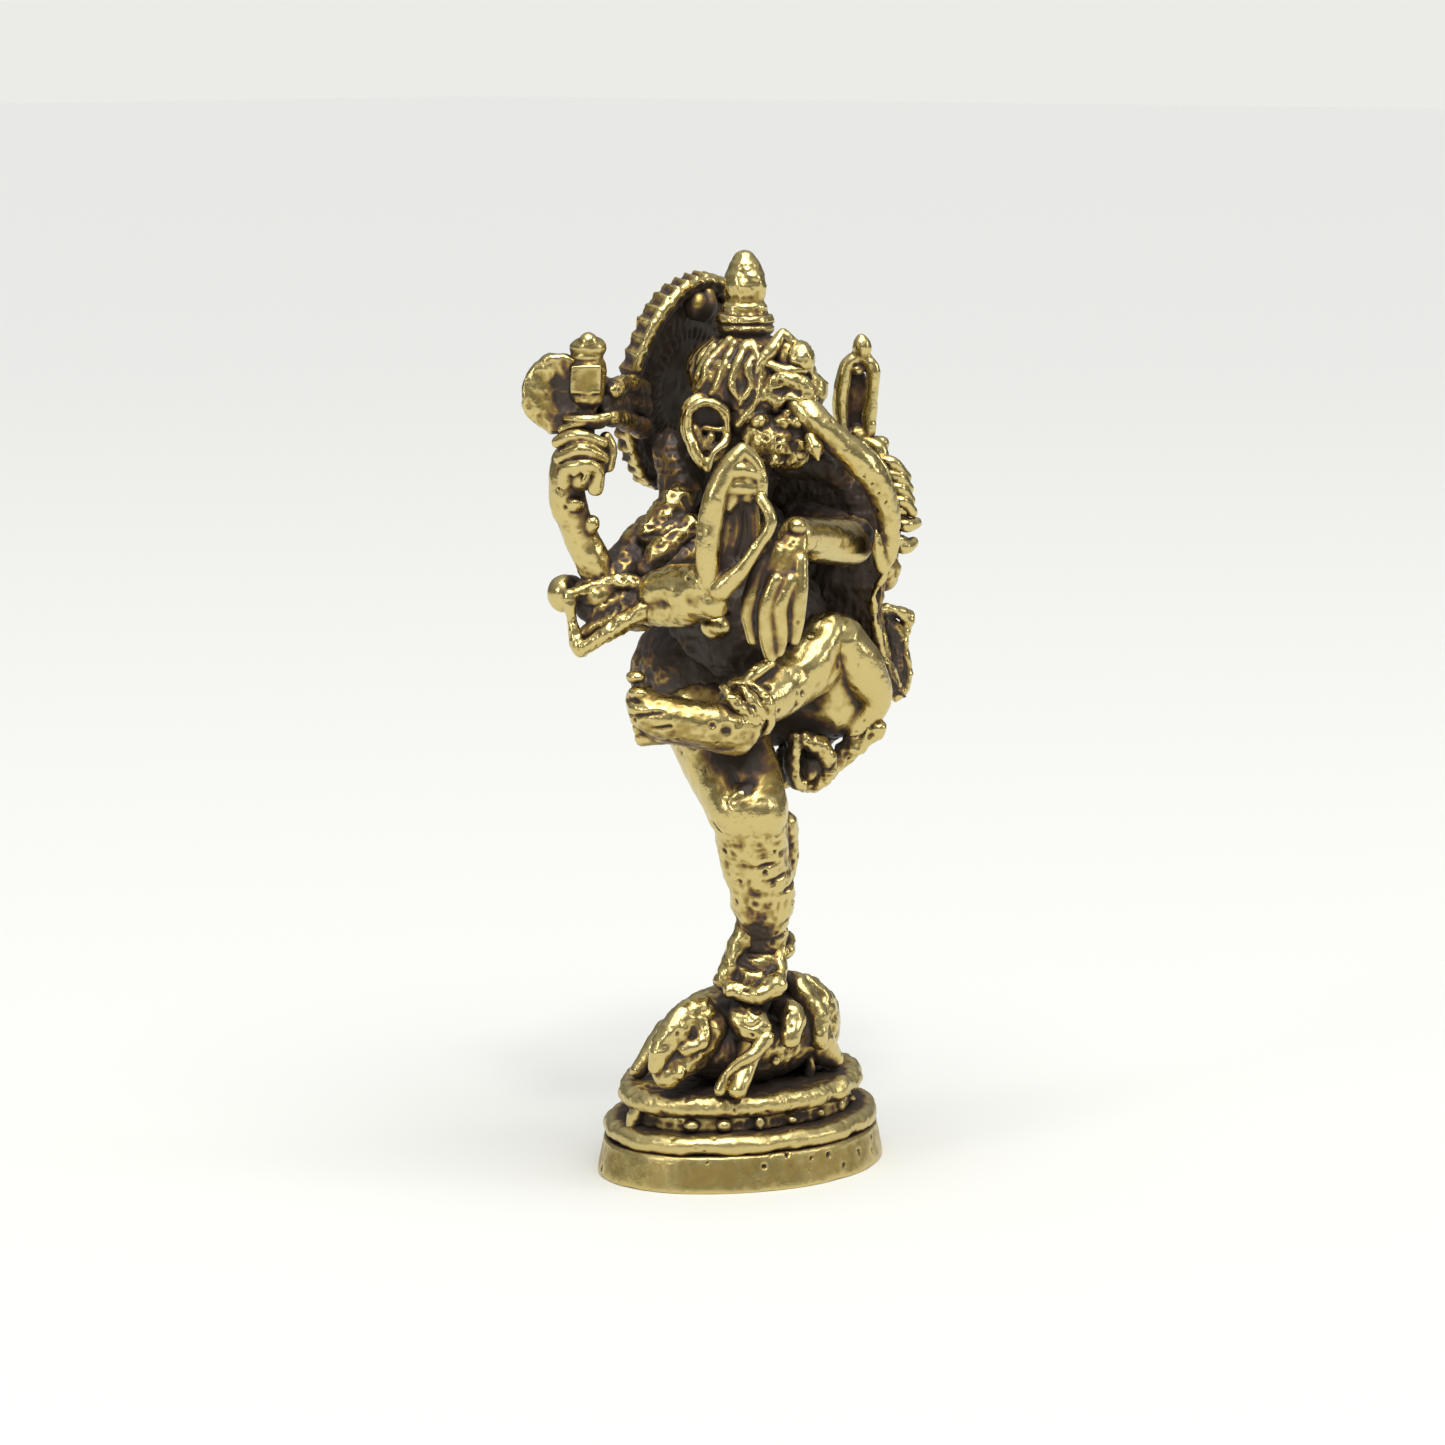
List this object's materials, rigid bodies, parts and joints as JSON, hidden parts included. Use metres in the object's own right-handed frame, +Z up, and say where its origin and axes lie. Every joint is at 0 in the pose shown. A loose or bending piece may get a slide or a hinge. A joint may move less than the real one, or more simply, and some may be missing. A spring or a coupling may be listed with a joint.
{
  "type": "dancing ganesha statuette",
  "caption": "Solid cast brass miniature of a four-armed, elephant-headed figure dancing on a mouse, on an oval stepped plinth.",
  "frame": {"origin": "centre of the plinth's flat underside, on the ground", "axes": "+Z up, the figure faces -Y, and its right hand is on the -X side"},
  "size_m": [0.0236, 0.0152, 0.0483],
  "materials": {
    "brass": "polished on the high parts, brown-black patina in the recesses",
    "plinth_brass": "satin, finely pitted, brown patina in the grooves"
  },
  "bodies": {
    "root": {"plinth_drum": "plinth_brass", "plinth_bead": "plinth_brass", "plinth_neck": "plinth_brass", "plinth_top": "plinth_brass", "mouse_body": "brass", "mouse_head": "brass", "mouse_legs": "brass", "standing_foot": "brass", "standing_anklet": "brass", "standing_shin": "brass", "standing_thigh": "brass", "raised_thigh": "brass", "raised_shin": "brass", "raised_anklet": "brass", "raised_foot": "brass", "hips": "brass", "belly": "brass", "chest": "brass", "belt_clasp": "brass", "loin_drape": "brass", "left_scarf": "brass", "right_scarf_flare": "brass", "left_scarf_flare": "brass", "right_scarf_curl": "brass", "right_rear_upper_arm": "brass", "right_rear_forearm": "brass", "right_rear_fist": "brass", "left_rear_upper_arm": "brass", "left_rear_forearm": "brass", "left_rear_fist": "brass", "left_rear_bangles": "brass", "right_front_upper_arm": "brass", "right_front_forearm": "brass", "blessing_hand": "brass", "left_front_upper_arm": "brass", "left_front_forearm": "brass", "hanging_hand": "brass", "axe_shaft": "brass", "axe_blade": "brass", "noose": "brass", "neck": "brass", "head": "brass", "trunk": "brass", "tusks": "brass", "right_ear": "brass", "left_ear": "brass", "hair": "brass", "diadem": "brass", "crown": "brass", "halo": "brass", "halo_boss": "brass", "halo_bridge": "brass"}
  },
  "joints": []
}
